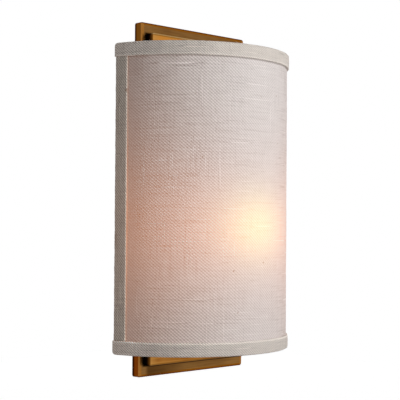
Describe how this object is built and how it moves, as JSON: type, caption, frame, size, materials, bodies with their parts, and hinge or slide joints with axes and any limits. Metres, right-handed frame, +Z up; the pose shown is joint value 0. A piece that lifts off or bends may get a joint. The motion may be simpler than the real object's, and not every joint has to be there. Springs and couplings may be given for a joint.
{
  "type": "fabric shade wall light",
  "caption": "Wall light: a tall half-round linen shade with folded trim hangs on wire in front of a stepped rectangular aged brass plate and hides a screw-cap lamp.",
  "frame": {"origin": "centre of the wall strap's screw slots, in the wall plane", "axes": "+Z up, +Y into the wall, +X to the right of someone who faces the wall"},
  "size_m": [0.2198, 0.1033, 0.3556],
  "materials": {
    "aged_brass": "antique brass, brushed and darkened in the corners",
    "plain_brass": "bright drawn brass",
    "zinc_steel": "zinc plated",
    "green_steel": "green passivated",
    "black_phenolic": "moulded, semi-gloss",
    "black_nylon": "moulded",
    "lead_insulation": "white extruded insulation",
    "connector_nylon": "orange moulded",
    "linen": "plain woven linen",
    "linen_trim": "plain woven linen, folded double",
    "styrene_liner": "translucent white sheet",
    "coated_wire": "white powder coated wire",
    "clear_sleeve": "soft translucent tube",
    "frosted_glass": "inside frosted",
    "clear_glass": "clear",
    "black_glass": "fused black glass",
    "lamp_cap_metal": "rolled, satin",
    "filament_wire": "drawn wire"
  },
  "bodies": {
    "wall_plate": {"back_plate": "aged_brass", "raised_plate": "aged_brass", "plate_screws": "zinc_steel", "wall_strap": "zinc_steel", "mounting_studs": "zinc_steel", "stud_spacers": "zinc_steel", "cap_nuts": "aged_brass", "earth_screw": "green_steel", "shade_hooks": "aged_brass", "hook_rivets": "aged_brass", "lamp_bracket": "zinc_steel", "bracket_screws": "zinc_steel", "bracket_nuts": "zinc_steel", "nipple": "zinc_steel", "nipple_locknut": "zinc_steel", "lampholder_body": "black_phenolic", "holder_screw_shell": "plain_brass", "holder_centre_contact": "plain_brass", "plate_bushing": "black_nylon", "lamp_leads": "lead_insulation", "lead_connectors": "connector_nylon"},
    "shade": {"linen_cover": "linen", "shade_liner": "styrene_liner", "top_trim": "linen_trim", "bottom_trim": "linen_trim", "left_trim": "linen_trim", "right_trim": "linen_trim", "top_ring_wire": "coated_wire", "bottom_ring_wire": "coated_wire", "side_wires": "coated_wire", "hanger_wire": "coated_wire", "stay_wires": "coated_wire", "stay_sleeves": "clear_sleeve"},
    "lamp": {"lamp_glass": "frosted_glass", "lamp_cap": "lamp_cap_metal", "lamp_insulator": "black_glass", "lamp_contact": "lamp_cap_metal", "lamp_stem": "clear_glass", "lamp_filament": "filament_wire"}
  },
  "joints": [
    {"name": "shade_lift", "type": "slide", "parent": "wall_plate", "child": "shade", "axis": [0, 0, 1], "range_m": [0, 0.34]},
    {"name": "lamp_unscrew", "type": "slide", "parent": "wall_plate", "child": "lamp", "axis": [0, 0, 1], "range_m": [0, 0.29]}
  ]
}
